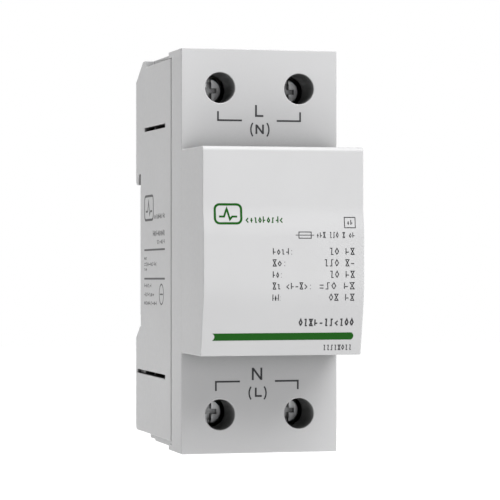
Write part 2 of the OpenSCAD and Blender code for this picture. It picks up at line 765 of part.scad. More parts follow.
// Front half of the frame, which clamps the spark gap and carries the trigger board
module board_carrier() color([0.16, 0.17, 0.18]) difference() {
    union() {
        box([-frame_half_w, -carrier_front_d, -carrier_half_h],
            [frame_half_w, carrier_web_t - carrier_front_d, carrier_half_h]);
        for (x = [0, 1]) mirror([x, 0, 0])
            box([frame_half_w - carrier_foot_t, -carrier_front_d, -cradle_half_h],
                [frame_half_w, -carrier_back_d, cradle_half_h]);
        for (x = [LEFT, RIGHT], z = [LINE, NEUTRAL])
            forward_rod([x * post_x, eps - carrier_front_d, z * post_z],
                post_r, board_d - carrier_front_d + eps);
    }
    translate([0, -gap_d, -carrier_half_h - 1])
        cylinder(r = saddle_r, h = 2 * carrier_half_h + 2);
    forward_rod([0, carrier_web_t + eps - carrier_front_d, 0], bush_r + 0.1,
        carrier_web_t + 2 * eps);
    for (x = [LEFT, RIGHT], z = [LINE, NEUTRAL])
        forward_rod([x * post_x, post_hole_len - board_d, z * post_z], post_hole_r,
            post_hole_len + eps);
}

// ---- trigger board ----

board_face_d = board_d + board_t;
screw_hole_r = 1.2;
lead_x = 6.5;
lead_z = 17.8;
lead_top_z = 19.8;
lead_start_d = 33;
trigger_lead_at = [4, -3.5];

module trigger_board() color([0.10, 0.36, 0.20]) difference() {
    translate([0, -board_d, 0]) rotate([90, 0, 0]) linear_extrude(board_t)
        polygon(round_rect(board_half_w, board_half_h, 1.5));
    for (x = [LEFT, RIGHT], z = [LINE, NEUTRAL])
        forward_rod([x * post_x, eps - board_d, z * post_z], screw_hole_r, board_t + 2 * eps);
}

small_screw_len = 5;
small_shank_r = 0.75;
small_head_r = 1.9;
small_head_h = 1.3;
small_cross_half = [0.3, 1.3];

// The four screws that hold the board on its posts
module board_screws() color(steel_grey) for (x = [LEFT, RIGHT], z = [LINE, NEUTRAL])
    translate([x * post_x, -board_face_d, z * post_z]) rotate([90, 0, 0]) difference() {
        rotate_extrude() polygon([
            [0, -small_screw_len], [small_shank_r / 2, -small_screw_len],
            [small_shank_r, small_shank_r - small_screw_len], [small_shank_r, 0],
            [small_head_r, 0], [small_head_r, small_head_h / 2],
            [small_head_r - small_head_h / 2, small_head_h], [0, small_head_h]]);
        for (turn = [0, 90]) rotate(turn)
            box([-small_cross_half[0], -small_cross_half[1], small_head_h / 2],
                [small_cross_half[0], small_cross_half[1], small_head_h + 1]);
    }

core_x = -5.5;
core_z = 8.4;
core_half_w = 5.5;
core_half_h = 5.6;
core_leg = 2;
core_h = 6.6;
coil_gap = 0.15;

// Ferrite core: two outer legs, a middle leg and the yokes that join them
module transformer_core() color([0.22, 0.22, 0.24])
    translate([core_x, -board_face_d, core_z]) rotate([90, 0, 0]) difference() {
        box([-core_half_w, -core_half_h, 0.8], [core_half_w, core_half_h, core_h]);
        for (x = [0, 1]) mirror([x, 0, 0])
            box([core_leg, core_leg - core_half_h, 0],
                [core_half_w - core_leg, core_half_h - core_leg, core_h + 1]);
    }

// Winding round the core's middle leg, with rounded turns
module transformer_coil() color([0.76, 0.38, 0.20])
    translate([core_x, -board_face_d - 0.05, core_z]) rotate([90, 0, 0]) difference() {
        union() {
            for (i = [0:5])
                translate([0, core_leg + 0.3 - core_half_h + 1.05 * i, 3.7]) rotate([-90, 0, 0])
                    linear_extrude(0.95) polygon(round_rect(3.3, 3.65, 1));
            box([-3, core_leg + 0.3 - core_half_h, 0.6],
                [3, core_leg + 6.4 - core_half_h, 6.8]);
        }
        box([-core_leg - coil_gap, -core_half_h, 0.8 - coil_gap - 0.05],
            [core_leg + coil_gap, core_half_h, core_h + coil_gap - 0.05]);
    }

varistor_at = [7.4, 9];
varistor_r = 6;
varistor_half_t = 1.6;
varistor_leg_x = 2.5;

// Disc varistor lying over the board on its two legs
module varistor() color([0.16, 0.30, 0.60])
    translate([varistor_at[0], -board_face_d, varistor_at[1]]) rotate([90, 0, 0]) {
        translate([0, 0, 1]) rotate_extrude() polygon(concat([[0, 0]],
            arc([varistor_r - varistor_half_t, varistor_half_t], varistor_half_t, -90, 90),
            [[0, 2 * varistor_half_t]]));
        for (x = [LEFT, RIGHT])
            translate([varistor_leg_x * x, 0, 0]) cylinder(r = 0.35, h = 1.5, $fn = 16);
    }

tube_at = [4.2, -6.4];
tube_len = 7.2;
tube_flange_r = 3.6;
tube_r = 3.1;
tube_flange_t = 0.9;

// Gas discharge tube: a ceramic barrel between two flanged end electrodes
module gas_tube() color([0.86, 0.86, 0.84])
    translate([tube_at[0], -board_face_d - tube_flange_r - eps, tube_at[1]])
        rotate([0, 90, 0]) rotate_extrude() polygon([
            [0, 0], [tube_flange_r, 0], [tube_flange_r, tube_flange_t],
            [tube_r, tube_flange_t + 0.3], [tube_r, tube_len - tube_flange_t - 0.3],
            [tube_flange_r, tube_len - tube_flange_t], [tube_flange_r, tube_len], [0, tube_len]]);

capacitor_low = [-12.4, -9.2];
capacitor_high = [0.8, -3.8];
capacitor_h = 7;
capacitor_foot_w = 2;
capacitor_foot_h = 0.6;

// Box film capacitor, standing on two feet
module capacitor() color([0.78, 0.62, 0.18]) difference() {
    box([capacitor_low[0], -board_face_d - capacitor_h, capacitor_low[1]],
        [capacitor_high[0], -board_face_d, capacitor_high[1]]);
    box([capacitor_low[0] + capacitor_foot_w, -board_face_d - capacitor_foot_h,
         capacitor_low[1] - 1],
        [capacitor_high[0] - capacitor_foot_w, 1 - board_face_d, capacitor_high[1] + 1]);
}

resistor_z = -14.2;
resistor_pitch = 4.6;
resistor_half_len = 2.9;
resistor_waist_half_len = 1.2;
resistor_end_r = 1.3;
resistor_waist_r = 1.05;

// Three resistors in a row, each with a narrower waist between its end caps
module resistors() color([0.74, 0.66, 0.50]) for (i = [-1:1])
    translate([resistor_pitch * i, -board_face_d - resistor_end_r - 2 * eps, resistor_z])
        for (z = [0, 1]) mirror([0, 0, z]) rotate_extrude() polygon([
            [0, -eps], [resistor_waist_r, -eps], [resistor_waist_r, resistor_waist_half_len],
            [resistor_end_r, resistor_waist_half_len + 0.4],
            [resistor_end_r, resistor_half_len - 0.4],
            [resistor_end_r - 0.4, resistor_half_len], [0, resistor_half_len]]);

lead_r = 0.7;

module trigger_lead() color([0.80, 0.15, 0.12]) wire([
    [0, -pin_front_d, 0], [0, 3 - board_d, 0],
    [trigger_lead_at[0], 1.8 - board_d, trigger_lead_at[1]],
    [trigger_lead_at[0], -board_d, trigger_lead_at[1]]], lead_r);

// Insulated lead from the foot of a busbar to the board
module board_lead() wire([
    [lead_x, -lead_start_d, bridge_low_z + bar_t], [lead_x, -lead_start_d, lead_top_z],
    [lead_x, 2.5 - board_d, lead_top_z], [lead_x, 2.5 - board_d, lead_z],
    [lead_x, -board_d, lead_z]], lead_r);

module line_lead() color([0.45, 0.28, 0.16]) board_lead();
module neutral_lead() color([0.15, 0.30, 0.65]) mirror([0, 0, 1]) board_lead();

// ---- named terminal nodes ----

module line_screw_left() terminal_screw(LEFT, LINE);
module line_screw_right() terminal_screw(RIGHT, LINE);
module neutral_screw_left() terminal_screw(LEFT, NEUTRAL);
module neutral_screw_right() terminal_screw(RIGHT, NEUTRAL);
module line_cage_left() lift_cage(LEFT, LINE);
module line_cage_right() lift_cage(RIGHT, LINE);
module neutral_cage_left() lift_cage(LEFT, NEUTRAL);
module neutral_cage_right() lift_cage(RIGHT, NEUTRAL);

rear_housing();
front_cover();
din_clip();
clip_spring();
line_screw_left();
line_screw_right();
neutral_screw_left();
neutral_screw_right();
line_cage_left();
line_cage_right();
neutral_cage_left();
neutral_cage_right();
line_busbar();
neutral_busbar();
upper_electrode();
lower_electrode();
upper_electrode_nut();
lower_electrode_nut();
upper_gap_cap();
lower_gap_cap();
arc_ring();
gap_insulator();
gap_sleeve();
trigger_pin();
trigger_bush();
gap_cradle();
board_carrier();
trigger_board();
board_screws();
transformer_core();
transformer_coil();
varistor();
gas_tube();
capacitor();
resistors();
trigger_lead();
line_lead();
neutral_lead();
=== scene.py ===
"""Looks of a two-module surge protector for a 35 mm rail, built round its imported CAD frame.

X is the width, -Y the front and Z up, in metres. Lengths are written in millimetres times MM.
"""

import json
import math

import bmesh
import bpy
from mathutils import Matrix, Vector
from mathutils.bvhtree import BVHTree


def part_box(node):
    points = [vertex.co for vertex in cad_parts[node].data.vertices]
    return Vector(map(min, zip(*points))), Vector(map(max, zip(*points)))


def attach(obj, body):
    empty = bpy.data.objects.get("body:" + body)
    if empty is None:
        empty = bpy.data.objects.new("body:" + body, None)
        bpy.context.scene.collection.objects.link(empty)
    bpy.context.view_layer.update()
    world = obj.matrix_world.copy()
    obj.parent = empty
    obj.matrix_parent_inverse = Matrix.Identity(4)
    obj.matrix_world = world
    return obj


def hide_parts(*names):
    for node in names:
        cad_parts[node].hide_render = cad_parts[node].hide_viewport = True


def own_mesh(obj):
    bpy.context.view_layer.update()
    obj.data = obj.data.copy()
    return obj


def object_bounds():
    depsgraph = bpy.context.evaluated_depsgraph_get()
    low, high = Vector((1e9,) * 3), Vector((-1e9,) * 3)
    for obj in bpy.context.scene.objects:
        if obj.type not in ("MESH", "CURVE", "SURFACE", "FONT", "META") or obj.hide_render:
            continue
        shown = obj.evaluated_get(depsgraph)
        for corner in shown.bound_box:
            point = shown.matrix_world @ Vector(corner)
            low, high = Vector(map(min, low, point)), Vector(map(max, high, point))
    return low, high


MM = 0.001
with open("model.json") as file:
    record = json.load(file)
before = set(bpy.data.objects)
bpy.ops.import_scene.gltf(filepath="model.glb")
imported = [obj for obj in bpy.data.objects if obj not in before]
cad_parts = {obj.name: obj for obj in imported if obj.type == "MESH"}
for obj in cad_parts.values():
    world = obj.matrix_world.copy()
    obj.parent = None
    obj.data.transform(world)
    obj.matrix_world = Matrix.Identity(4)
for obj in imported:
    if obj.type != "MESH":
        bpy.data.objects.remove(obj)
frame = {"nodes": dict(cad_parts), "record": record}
cad_low, cad_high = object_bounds()
record = frame["record"]
body_of_node = {n: b for b, members in record["behaviour"]["bodies"].items() for n in members}
slot_of_node = {s["node"]: s["material_slot"] for s in record["subparts"]}

# ---- camera ----

# The camera's turn to the right of straight ahead, where it stands from the origin along its own
# axes, and its lens in millimetres.
CAMERA_YAW = math.radians(14.549)
CAMERA_BACK = 577.5 * MM
CAMERA_RIGHT = 8.88 * MM
CAMERA_UP = 0.26 * MM
CAMERA_LENS = 172.69


def add_camera():
    """The camera stands at the left of the object and looks level, along the photo's viewing angle."""
    ahead = Vector((math.sin(CAMERA_YAW), math.cos(CAMERA_YAW), 0))
    right = Vector((math.cos(CAMERA_YAW), -math.sin(CAMERA_YAW), 0))
    data = bpy.data.cameras.new("camera")
    data.lens = CAMERA_LENS
    camera = bpy.data.objects.new("camera", data)
    camera.location = right * CAMERA_RIGHT - ahead * CAMERA_BACK + Vector((0, 0, CAMERA_UP))
    camera.rotation_euler = ahead.to_track_quat("-Z", "Y").to_euler()
    bpy.context.scene.collection.objects.link(camera)
    bpy.context.scene.camera = camera


# ---- materials ----

# How far the painted shade of recesses looks for faces around it: a whole well or corner in plastic,
# a slot or thread in metal, and the narrow gaps in both.
PLASTIC_REACH = 45 * MM
METAL_REACH = 2.5 * MM
CREVICE_REACH = 5 * MM
# About how wide the worn band is along an edge.
PLASTIC_EDGE = 0.35 * MM
METAL_EDGE = 0.12 * MM


class Nodes:
    """A short way to write a material's node tree."""

    def __init__(self, name):
        self.material = bpy.data.materials.new(name)
        self.material.use_nodes = True
        self.tree = self.material.node_tree
        self.shader = self.tree.nodes["Principled BSDF"]
        self.place = self.add("ShaderNodeTexCoord").outputs["Object"]

    def add(self, kind, **settings):
        node = self.tree.nodes.new(kind)
        for key, value in settings.items():
            setattr(node, key, value)
        return node

    def join(self, source, socket):
        self.tree.links.new(source, socket)

    def noise(self, scale, detail=2, stretch=(1, 1, 1)):
        """Noise in object space. scale is in repeats a metre."""
        mapping = self.add("ShaderNodeMapping")
        mapping.inputs["Scale"].default_value = stretch
        texture = self.add("ShaderNodeTexNoise")
        texture.inputs["Scale"].default_value = scale
        texture.inputs["Detail"].default_value = detail
        self.join(self.place, mapping.inputs["Vector"])
        self.join(mapping.outputs["Vector"], texture.inputs["Vector"])
        return texture.outputs["Fac"]

    def spread(self, source, low, high, start=0.3, end=0.7):
        """Maps source from start..end to low..high."""
        node = self.add("ShaderNodeMapRange")
        node.inputs["From Min"].default_value = start
        node.inputs["From Max"].default_value = end
        node.inputs["To Min"].default_value = low
        node.inputs["To Max"].default_value = high
        self.join(source, node.inputs["Value"])
        return node.outputs["Result"]

    def blend(self, share, first, second):
        """Mixes two colours by a share. Either colour may be a socket."""
        node = self.add("ShaderNodeMix", data_type="RGBA")
        self.join(share, node.inputs["Factor"])
        for colour, socket in ((first, node.inputs["A"]), (second, node.inputs["B"])):
            if isinstance(colour, bpy.types.NodeSocket):
                self.join(colour, socket)
            else:
                socket.default_value = (*colour, 1)
        return node.outputs["Result"]

    def edges(self, radius):
        """Is 1 on edges and 0 on flats, from how far a rounded normal turns away from the true one."""
        rounded = self.add("ShaderNodeBevel", samples=4)
        rounded.inputs["Radius"].default_value = radius
        true = self.add("ShaderNodeNewGeometry")
        dot = self.add("ShaderNodeVectorMath", operation="DOT_PRODUCT")
        self.join(rounded.outputs["Normal"], dot.inputs[0])
        self.join(true.outputs["Normal"], dot.inputs[1])
        return self.spread(dot.outputs["Value"], 1, 0, 0.8, 0.99)

    def painted_light_share(self, reach):
        """Falls from 1 on an outside face towards 0 deep in a bore or corner, where less light gets in:
        the share of the colour that the painted shade keeps.
        """
        root = self.add("ShaderNodeMath", operation="SQRT")
        self.join(self.occlusion(reach), root.inputs[0])
        wide = root.outputs["Value"]
        deep = self.spread(wide, 0.15, 1, 0.3, 0.75)
        crevice = self.spread(self.occlusion(CREVICE_REACH), 0.72, 1, 0.3, 0.95)
        return self.product(self.product(wide, deep), crevice)

    def occlusion(self, reach):
        """Is 1 where no face of the same object stands within reach, and less in a hollow."""
        node = self.add("ShaderNodeAmbientOcclusion", samples=8, only_local=True)
        node.inputs["Distance"].default_value = reach
        return node.outputs["AO"]

    def product(self, first, second):
        node = self.add("ShaderNodeMath", operation="MULTIPLY")
        self.join(first, node.inputs[0])
        self.join(second, node.inputs[1])
        return node.outputs["Value"]

    def bump(self, height, distance, strength=1.0):
        node = self.add("ShaderNodeBump")
        node.inputs["Strength"].default_value = strength
        node.inputs["Distance"].default_value = distance
        self.join(height, node.inputs["Height"])
        self.join(node.outputs["Normal"], self.shader.inputs["Normal"])


def shade(colour, factor):
    return tuple(min(1, c * factor) for c in colour)


def plastic(name, colour, roughness=0.42, grain=0.25, wear=1.14, painted_shade_tone=0.0):
    """Moulded plastic: fine spark-eroded grain, faint flow clouds, edges lighter from wear, and painted
    shade in bores and corners.

    The last argument is how much of the colour the painted shade leaves deep in a bore.
    """
    n = Nodes(name)
    clouds = n.noise(70, 3)
    tint = n.blend(n.spread(clouds, 0, 1), shade(colour, 0.985), shade(colour, 1.015))
    worn = n.blend(n.edges(PLASTIC_EDGE), tint, shade(colour, wear))
    # Painted shade: the colour darkens deep in bores, corners and crevices, where less light gets in.
    n.join(n.blend(n.painted_light_share(PLASTIC_REACH), shade(colour, painted_shade_tone), worn), n.shader.inputs["Base Color"])
    n.join(n.spread(n.noise(900, 2), roughness - 0.04, roughness + 0.05), n.shader.inputs["Roughness"])
    n.shader.inputs["Specular IOR Level"].default_value = 0.35
    n.bump(n.noise(4200, 2), 0.02 * MM, grain)
    return n.material


def metal(name, colour, roughness=0.3, stretch=(1, 1, 1), stain=0.82, painted_shade_tone=0.08):
    """Bare or plated metal: drawn or brushed streaks, thin stains, edges rubbed bright, and painted shade
    in slots and threads.
    """
    n = Nodes(name)
    stains = n.noise(420, 4)
    tint = n.blend(n.spread(stains, 0, 1, 0.45, 0.75), colour, shade(colour, stain))
    worn = n.blend(n.edges(METAL_EDGE), tint, shade(colour, 1.15))
    # Painted shade: the colour darkens in slots, threads and crevices, down to the last argument's share
    # of it.
    n.join(n.blend(n.painted_light_share(METAL_REACH), shade(colour, painted_shade_tone), worn), n.shader.inputs["Base Color"])
    streaks = n.noise(2600, 2, stretch)
    n.join(n.spread(streaks, roughness - 0.08, roughness + 0.1), n.shader.inputs["Roughness"])
    n.shader.inputs["Metallic"].default_value = 1
    n.bump(streaks, 0.01 * MM, 0.4)
    return n.material


def gloss(name, colour, roughness=0.22, coat=0.4):
    """Lacquer, enamel, glaze or solder mask: orange peel under a clear coat."""
    n = Nodes(name)
    patches = n.noise(300, 3)
    n.join(n.blend(n.spread(patches, 0, 1), shade(colour, 0.9), shade(colour, 1.08)),
           n.shader.inputs["Base Color"])
    n.join(n.spread(n.noise(1500, 2), roughness - 0.05, roughness + 0.08), n.shader.inputs["Roughness"])
    n.shader.inputs["Coat Weight"].default_value = coat
    n.bump(n.noise(1100, 2), 0.02 * MM, 0.3)
    return n.material


def ink(name, colour):
    """Pad-printed ink: matt, with pinholes where it has not quite taken on the grain."""
    n = Nodes(name)
    holes = n.noise(5200, 2)
    n.join(n.blend(n.spread(holes, 0, 1, 0.55, 0.8), colour, shade(colour, 1.35)),
           n.shader.inputs["Base Color"])
    n.join(n.spread(holes, 0.5, 0.7), n.shader.inputs["Roughness"])
    n.shader.inputs["Specular IOR Level"].default_value = 0.08
    n.bump(holes, 0.01 * MM, 0.2)
    return n.material


SHELL = (0.54, 0.54, 0.545)
MATERIALS = {
    "grey_print": ink("grey_print", (0.052, 0.052, 0.055)),
    "green_print": ink("green_print", (0.012, 0.09, 0.0095)),
    "housing_plastic": plastic("housing_plastic", SHELL),
    "cover_plastic": plastic("cover_plastic", SHELL),
    "clip_plastic": plastic("clip_plastic", (0.018, 0.018, 0.02), 0.4, 0.3, 1.8),
    "spring_steel": metal("spring_steel", (0.45, 0.46, 0.48), 0.28),
    "screw_steel": metal("screw_steel", (0.88, 0.89, 0.9), 0.36, (1, 0.2, 1), 0.9, 0.35),
    "cage_steel": metal("cage_steel", (0.56, 0.55, 0.5), 0.36, (0.2, 1, 1)),
    "copper": metal("copper", (0.72, 0.38, 0.25), 0.34, (0.1, 1, 1), 0.7),
    "electrode_metal": metal("electrode_metal", (0.56, 0.44, 0.35), 0.38, (1, 1, 0.1)),
    "plated_steel": metal("plated_steel", (0.6, 0.61, 0.62), 0.32),
    "red_thermoset": plastic("red_thermoset", (0.17, 0.03, 0.015), 0.35, 0.3, 1.4),
    "quench_polymer": plastic("quench_polymer", (0.74, 0.7, 0.6), 0.5, 0.3),
    "sleeve_steel": metal("sleeve_steel", (0.5, 0.51, 0.53), 0.33, (1, 1, 0.08)),
    "brass": metal("brass", (0.72, 0.53, 0.2), 0.28, (1, 0.1, 1)),
    "black_frame": plastic("black_frame", (0.012, 0.012, 0.014), 0.45, 0.35, 1.8),
    "board_laminate": gloss("board_laminate", (0.012, 0.09, 0.03)),
    "ferrite": plastic("ferrite", (0.02, 0.02, 0.023), 0.5, 0.6, 1.6),
    "winding_copper": gloss("winding_copper", (0.5, 0.16, 0.05)),
    "varistor_blue": gloss("varistor_blue", (0.015, 0.04, 0.25)),
    "tube_ceramic": gloss("tube_ceramic", (0.72, 0.72, 0.68), 0.18),
    "capacitor_yellow": gloss("capacitor_yellow", (0.6, 0.33, 0.02), 0.3),
    "resistor_tan": gloss("resistor_tan", (0.48, 0.33, 0.17), 0.28),
    "lead_red": plastic("lead_red", (0.42, 0.01, 0.008), 0.35, 0.15, 1.1),
    "lead_brown": plastic("lead_brown", (0.09, 0.03, 0.012), 0.35, 0.15, 1.1),
    "lead_blue": plastic("lead_blue", (0.012, 0.04, 0.26), 0.35, 0.15, 1.1),
}
# The side's print is paler than the front's.
PALE_INK = ink("pale_grey_print", (0.15, 0.15, 0.154))

# ---- pieces made from the CAD nodes ----

# An edge that turns more than this is sharp, and faces that turn less than the next angle are one flat.
SHARP = math.radians(32)
COPLANAR = math.radians(0.5)
WELD = 0.0005 * MM
SHELL_EDGE = 0.22 * MM


def finish_mesh(bm, name, body, slot):
    """Makes a piece of a bmesh, with smooth shading that stays flat on the flats."""
    bmesh.ops.recalc_face_normals(bm, faces=bm.faces)
    for face in bm.faces:
        face.smooth = True
    for edge in bm.edges:
        edge.smooth = len(edge.link_faces) == 2 and edge.calc_face_angle() < SHARP
    mesh = bpy.data.meshes.new(name)
    bm.to_mesh(mesh)
    bm.free()
    mesh.materials.append(MATERIALS[slot])
    obj = bpy.data.objects.new(name, mesh)
    bpy.context.scene.collection.objects.link(obj)
    obj.modifiers.new("flat_normals", "WEIGHTED_NORMAL").keep_sharp = True
    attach(obj, body)
    return obj


def node_shape(node):
    """A copy of a CAD node's mesh, with its split corners merged and its flat triangles joined."""
    bm = bmesh.new()
    bm.from_mesh(frame["nodes"][node].data)
    bmesh.ops.remove_doubles(bm, verts=bm.verts, dist=WELD)
    bmesh.ops.dissolve_limit(bm, angle_limit=COPLANAR, verts=bm.verts, edges=bm.edges)
    return bm


def soften(bm, radius, segments=2):
    """Rounds every sharp edge of a shape."""
    sharp = [e for e in bm.edges if len(e.link_faces) == 2 and e.calc_face_angle() > SHARP]
    bmesh.ops.bevel(bm, geom=sharp, offset=radius, offset_type="OFFSET", segments=segments,
                    profile=0.5, affect="EDGES", clamp_overlap=False)


def softened(node, radius, segments=2):
    """A piece that stands for a CAD node, with its edges rounded as they come from a tool or a mould."""
    bm = node_shape(node)
    soften(bm, radius, segments)
    obj = finish_mesh(bm, f"{node}_piece", body_of_node[node], slot_of_node[node])
    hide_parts(node)
    return obj


# ---- printed marks ----

# How far the ink stands out of the face, and how deep its hidden root goes into it.
INK_T = 0.02 * MM
INK_ROOT = 0.1 * MM
STROKE_STEP = 0.6 * MM
SHARPEST_MITRE = 0.4
LETTER_WEIGHT = 0.45 * MM
SMALL_LETTER_WEIGHT = 0.42 * MM
LINE_WEIGHT = 0.4 * MM
BRACKET_WEIGHT = 0.34 * MM
THIN = 0.2 * MM
# The side's print climbs a little towards the front.
SIDE_TILT = 0.012


def resampled(points, step, closed=False):
    """Adds points along the straight runs, so that a stroke can follow a curved face."""
    runs = list(zip(points, points[1:] + points[:1] if closed else points[1:]))
    out = []
    for a, b in runs:
        count = max(1, math.ceil((b - a).length / step))
        out += [a.lerp(b, i / count) for i in range(count)]
    return out if closed else out + [points[-1]]


def add_stroke(bm, points, width, place, closed=False):
    """Adds a thin solid along flat points. place turns (across, up, lift) into a point of the frame."""
    points = resampled([Vector(p) for p in points], STROKE_STEP, closed)
    count = len(points)
    rings = []
    for i, p in enumerate(points):
        into = p - points[i - 1] if closed or i else points[1] - p
        out = points[(i + 1) % count] - p if closed or i < count - 1 else into
        a, b = into.normalized(), out.normalized()
        side = Vector((-(a.y + b.y), a.x + b.x)).normalized()
        reach = width / 2 / max(SHARPEST_MITRE, side.dot(Vector((-a.y, a.x))))
        left, right = p + side * reach, p - side * reach
        rings.append([bm.verts.new(place(*q, lift)) for q, lift in (
            (left, INK_T), (right, INK_T), (right, -INK_ROOT), (left, -INK_ROOT))])
    for a, b in zip(rings, rings[1:] + rings[:1] if closed else rings[1:]):
        for i in range(4):
            bm.faces.new([a[i], a[(i + 1) % 4], b[(i + 1) % 4], b[i]])
    if not closed:
        bm.faces.new(rings[0])
        bm.faces.new(rings[-1])


def add_fill(bm, outline, place):
    """Adds a thin solid with that outline. It lies on a flat part of a face."""
    front = [bm.verts.new(place(*p, INK_T)) for p in outline]
    back = [bm.verts.new(place(*p, -INK_ROOT)) for p in outline]
    caps = [bm.faces.new(front), bm.faces.new(back)]
    for i in range(len(outline)):
        j = (i + 1) % len(outline)
        bm.faces.new([front[i], front[j], back[j], back[i]])
    bmesh.ops.triangulate(bm, faces=caps)


def arc(centre, radius, start, end, steps=10):
    """Points of an arc. Angles are in degrees, from the right and turning up."""
    angles = [math.radians(start + (end - start) * i / steps) for i in range(steps + 1)]
    return [(centre[0] + radius * math.cos(a), centre[1] + radius * math.sin(a)) for a in angles]


def rect(low, high):
    """Corners of a rectangle."""
    return [low, (high[0], low[1]), high, (low[0], high[1])]


def round_rect(low, high, r):
    """Points of a rectangle with round corners."""
    (x0, z0), (x1, z1) = low, high
    return (arc((x1 - r, z1 - r), r, 0, 90, 4) + arc((x0 + r, z1 - r), r, 90, 180, 4)
            + arc((x0 + r, z0 + r), r, 180, 270, 4) + arc((x1 - r, z0 + r), r, 270, 360, 4))


# The strokes of each sign in a greeked line, in a cell 1 wide and 1 high. None of them is a letter:
# the letters here only name them. A sign is a list of strokes, and a gap has none.
MID = 0.37
X_HEIGHT = 0.74
SIGNS = {
    "o": [[(0.5, 0), (1, MID), (0.5, X_HEIGHT), (0, MID), (0.5, 0)]],
    "h": [[(0.1, 0), (0.1, 1)], [(0.1, MID), (1, MID)]],
    "d": [[(0.9, 0), (0.9, 1)], [(0, MID), (0.9, MID)]],
    "s": [[(0, 0.05), (0.5, 0.05), (0.5, X_HEIGHT), (1, X_HEIGHT)]],
    "z": [[(0, X_HEIGHT), (0.5, X_HEIGHT), (0.5, 0.05), (1, 0.05)]],
    "=": [[(0, 0.15), (1, 0.15)], [(0, 0.62), (1, 0.62)]],
    "<": [[(0.95, 0), (0.1, MID), (0.95, X_HEIGHT)]],
    ">": [[(0.05, 0), (0.9, MID), (0.05, X_HEIGHT)]],
    "+": [[(0.5, 0), (0.5, X_HEIGHT)], [(0, MID), (1, MID)]],
    ":": [[(0.4, 0.05), (0.6, 0.05)], [(0.4, 0.62), (0.6, 0.62)]],
    "-": [[(0, MID), (1, MID)]],
    "O": [[(0.5, 0), (1, 0.5), (0.5, 1), (0, 0.5), (0.5, 0)]],
    "X": [[(0, 0), (1, 0), (0, 1), (1, 1), (0, 0)]],
    "S": [[(0, 0), (0.55, 0), (0.45, 1), (1, 1)]],
    "Z": [[(0, 1), (0.55, 1), (0.45, 0), (1, 0)]],
    " ": [],
}
# A sign's width and the gap after it, as shares of a line's pitch.
CELL = 0.7
GAP = 0.18


def add_line(bm, signs, start, end, base, height, weight, place):
    """Adds one greeked line of signs between start and end, on a base line."""
    pitch = (end - start) / (len(signs) * (CELL + GAP) - GAP)
    inset = weight / 2
    for i, sign in enumerate(signs):
        left = start + i * (CELL + GAP) * pitch
        for stroke in SIGNS[sign]:
            add_stroke(bm, [(left + inset + u * (CELL * pitch - weight),
                             base + inset + v * (height - weight)) for u, v in stroke], weight, place)


left_side_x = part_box("rear_housing")[0].x


def surface_tree(obj):
    """A search tree of an object's faces."""
    bm = bmesh.new()
    bm.from_mesh(obj.data)
    tree = BVHTree.FromBMesh(bm)
    bm.free()
    return tree


def on_front(x, z, lift):
    """A point on the cover's front at that place across and up, lifted towards the front."""
    ahead_of_cover = cad_low.y - 1 * MM
    hit = front_tree.ray_cast(Vector((x, ahead_of_cover, z)), Vector((0, 1, 0)))[0]
    return Vector((x, hit.y - lift, z))


def on_left_side(along, z, lift):
    """A point on the housing's left side. along runs from the rail to the front."""
    return Vector((left_side_x - lift, -along, z + SIDE_TILT * along))


def mm(*values):
    return tuple(v * MM for v in values)


def mm_points(*pairs):
    return [mm(*p) for p in pairs]


def printed(name, slot, draw, finish=None):
    """A printed mark, drawn as a film of ink. finish is an ink other than the slot's own."""
    bm = bmesh.new()
    draw(bm)
    film = finish_mesh(bm, name, "housing", slot)
    if finish:
        film.material_slots[0].material = finish


def add_l(bm, left, base, width, height, weight):
    """The line conductor's letter, as one bent stroke."""
    x, z = left + weight / 2, base + weight / 2
    add_stroke(bm, [(x, base + height), (x, z), (left + width, z)], weight, on_front)


def add_n(bm, left, base, width, height, weight):
    """The neutral conductor's letter: two uprights and a slanting bar between them."""
    x0, x1 = left + weight / 2, left + width - weight / 2
    add_stroke(bm, [(x0, base), (x0, base + height)], weight, on_front)
    add_stroke(bm, [(x1, base), (x1, base + height)], weight, on_front)
    slant = weight * 0.5
    add_stroke(bm, [(x0 + slant / 2, base + height - slant), (x1 - slant / 2, base + slant)],
               weight, on_front)


def add_brackets(bm, centre, low, high, half_w, weight):
    """The two round brackets beside a conductor letter."""
    middle, half_h = (low + high) / 2, (high - low) / 2
    bulge = 0.45 * MM
    radius = (half_h ** 2 + bulge ** 2) / (2 * bulge)
    sweep = math.degrees(math.asin(half_h / radius))
    for side in (-1, 1):
        hub = (centre + side * (half_w - radius), middle)
        start = 0 if side > 0 else 180
        add_stroke(bm, arc(hub, radius, start - sweep, start + sweep, 8), weight, on_front)


def add_terminal_line(bm, near, level, tip):
    """An angled line from a conductor letter towards a screw hole."""
    add_stroke(bm, [(near, level), (tip[0], level), tip], LINE_WEIGHT, on_front)


def draw_line_marks(bm):
    """The upper terminals' marks: the line letter, and the neutral letter in brackets."""
    add_l(bm, -1.09 * MM, 29.93 * MM, 1.93 * MM, 2.65 * MM, LETTER_WEIGHT)
    add_n(bm, -0.98 * MM, 26.12 * MM, 1.94 * MM, 2.12 * MM, SMALL_LETTER_WEIGHT)
    add_brackets(bm, 0.03 * MM, 25.6 * MM, 28.6 * MM, 2.08 * MM, BRACKET_WEIGHT)
    add_terminal_line(bm, -4.09 * MM, 29.1 * MM, mm(-9.59, 31.1))
    add_terminal_line(bm, 3.92 * MM, 29.1 * MM, mm(9.35, 31.1))


def draw_neutral_marks(bm):
    """The lower terminals' marks: the neutral letter, and the line letter in brackets."""
    add_n(bm, -1.83 * MM, -28.74 * MM, 2.42 * MM, 2.77 * MM, LETTER_WEIGHT)
    add_l(bm, -1.13 * MM, -32.5 * MM, 1.6 * MM, 2.08 * MM, SMALL_LETTER_WEIGHT)
    add_brackets(bm, -0.5 * MM, -33.05 * MM, -30.2 * MM, 1.95 * MM, BRACKET_WEIGHT)
    add_terminal_line(bm, -4.55 * MM, -29.0 * MM, mm(-10.07, -31.04))
    add_terminal_line(bm, 3.5 * MM, -29.0 * MM, mm(8.81, -30.9))


